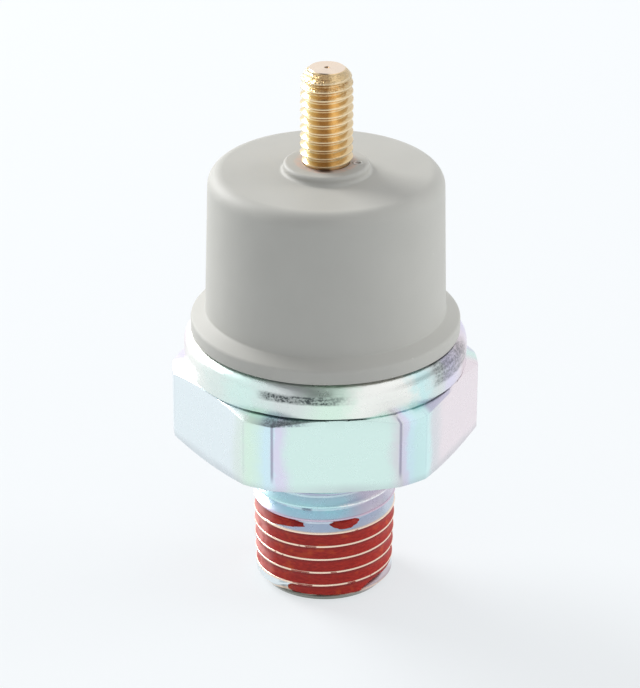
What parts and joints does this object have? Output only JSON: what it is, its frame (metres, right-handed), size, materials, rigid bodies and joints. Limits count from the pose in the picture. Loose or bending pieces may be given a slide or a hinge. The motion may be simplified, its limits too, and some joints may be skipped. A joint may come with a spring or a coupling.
{
  "type": "oil pressure sender",
  "caption": "Engine oil pressure sender: plated hexagon body with a taper-thread stem, rolled ring, grey moulded cap and a threaded brass stud.",
  "frame": {"origin": "centre of the stem's end face, on the body's axis", "axes": "+Z along the axis from the threaded stem to the stud; -Y out of one flat of the hexagon"},
  "size_m": [0.0286, 0.0262, 0.0515],
  "materials": {
    "plated_steel": "bright zinc plate with an iridescent pale film",
    "sealant": "dried red thread sealant, worn off the crests",
    "brass": "turned",
    "stud_brass": "bright rolled thread",
    "rubber": "moulded, matt",
    "bronze": "rolled spring bronze",
    "pressed_steel": "pressed sheet, dull plate",
    "turned_steel": "fine turned",
    "spring_steel": "drawn wire",
    "pressed_brass": "pressed sheet",
    "card_laminate": "paper laminate",
    "resistance_wire": "fine drawn wire, wound side by side",
    "cap_plastic": "moulded grey, satin"
  },
  "bodies": {
    "housing": {"threaded_body": "plated_steel", "thread_sealant": "sealant", "port_restrictor": "brass", "sealing_ring": "rubber", "diaphragm": "bronze", "spring_housing": "pressed_steel", "range_spring": "spring_steel", "mechanism_frame": "pressed_steel", "frame_rivets": "turned_steel", "pivot_pin": "turned_steel", "lever_spring": "spring_steel", "resistance_card": "card_laminate", "resistance_winding": "resistance_wire", "card_rivet": "brass", "terminal_strip": "bronze", "terminal_rivet": "brass", "terminal_stud": "stud_brass", "cap": "cap_plastic", "cap_gasket": "rubber"},
    "pusher": {"pusher": "turned_steel"},
    "lever": {"wiper_lever": "pressed_brass", "adjusting_screw": "brass", "screw_nut": "brass", "wiper_blade": "bronze", "wiper_rivets": "brass"}
  },
  "joints": [
    {"name": "lever_pivot", "type": "hinge", "parent": "housing", "child": "lever", "pos_m": [-0.0019, 0, 0.0284], "axis": [0, -1, 0], "range_deg": [0, 24.31], "deforming": ["lever_spring"]},
    {"name": "pusher_slide", "type": "slide", "parent": "housing", "child": "pusher", "axis": [0, 0, 1], "range_m": [0, 0.0008], "stiffness_N_per_m": 6, "springref_m": -0.002, "deforming": ["range_spring"]}
  ],
  "couplings": [
    {"joint": "lever_pivot", "follows": "pusher_slide", "rad_per_m": 530.28}
  ]
}
